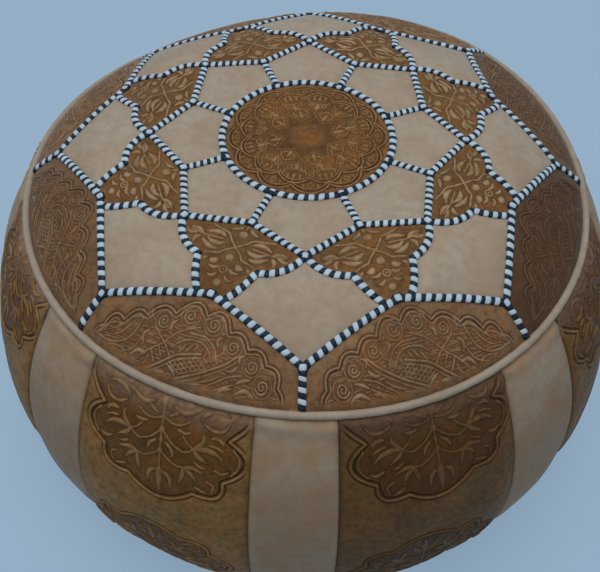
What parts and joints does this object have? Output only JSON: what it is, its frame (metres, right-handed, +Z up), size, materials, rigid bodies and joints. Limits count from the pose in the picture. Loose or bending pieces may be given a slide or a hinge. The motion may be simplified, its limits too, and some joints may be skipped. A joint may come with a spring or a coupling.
{
  "type": "leather pouf",
  "caption": "Round stuffed leather pouf with a laced star patchwork on its crown, piped edge, embossed side panels and a zip in its base.",
  "frame": {"origin": "centre of the base, on the floor", "axes": "+Z up, -Y towards the front of the pictured view, zip along X"},
  "size_m": [0.53, 0.53, 0.2927],
  "materials": {
    "leather_brown": "antiqued and embossed",
    "leather_cream": "natural matt",
    "leather_piping": "natural matt",
    "lacing": "waxed thread",
    "leather_base": "natural matt",
    "zip_tape": "woven",
    "zip_brass": "tarnished",
    "filling": "loose fibre"
  },
  "bodies": {
    "pouf": {"top_medallion": "leather_brown", "petal_panel_1": "leather_cream", "petal_panel_2": "leather_cream", "petal_panel_3": "leather_cream", "petal_panel_4": "leather_cream", "petal_panel_5": "leather_cream", "petal_panel_6": "leather_cream", "petal_panel_7": "leather_cream", "petal_panel_8": "leather_cream", "kite_panel_1": "leather_brown", "kite_panel_2": "leather_brown", "kite_panel_3": "leather_brown", "kite_panel_4": "leather_brown", "kite_panel_5": "leather_brown", "kite_panel_6": "leather_brown", "kite_panel_7": "leather_brown", "kite_panel_8": "leather_brown", "star_panel_1": "leather_cream", "star_panel_2": "leather_cream", "star_panel_3": "leather_cream", "star_panel_4": "leather_cream", "star_panel_5": "leather_cream", "star_panel_6": "leather_cream", "star_panel_7": "leather_cream", "star_panel_8": "leather_cream", "border_panel_1": "leather_brown", "border_panel_2": "leather_brown", "border_panel_3": "leather_brown", "border_panel_4": "leather_brown", "border_panel_5": "leather_brown", "border_panel_6": "leather_brown", "border_panel_7": "leather_brown", "border_panel_8": "leather_brown", "side_panel_brown_1": "leather_brown", "side_panel_brown_2": "leather_brown", "side_panel_brown_3": "leather_brown", "side_panel_brown_4": "leather_brown", "side_panel_brown_5": "leather_brown", "side_panel_brown_6": "leather_brown", "side_panel_brown_7": "leather_brown", "side_panel_brown_8": "leather_brown", "side_panel_cream_1": "leather_cream", "side_panel_cream_2": "leather_cream", "side_panel_cream_3": "leather_cream", "side_panel_cream_4": "leather_cream", "side_panel_cream_5": "leather_cream", "side_panel_cream_6": "leather_cream", "side_panel_cream_7": "leather_cream", "side_panel_cream_8": "leather_cream", "piping": "leather_piping", "medallion_lacing": "lacing", "star_lacing": "lacing", "wave_lacing": "lacing", "base_halves": "leather_base", "zip_tapes": "zip_tape", "zip_teeth": "zip_brass", "zip_stops": "zip_brass", "stuffing": "filling"},
    "slider": {"zip_slider": "zip_brass"},
    "pull": {"zip_pull": "zip_brass"}
  },
  "joints": [
    {"name": "zip_slide", "type": "slide", "parent": "pouf", "child": "slider", "axis": [1, 0, 0], "range_m": [-0.233, 0], "deforming": ["zip_teeth"]},
    {"name": "pull_flip", "type": "hinge", "parent": "slider", "child": "pull", "pos_m": [0.11903, 0, 0.0049], "axis": [0, -1, 0], "range_deg": [0, 180]}
  ]
}
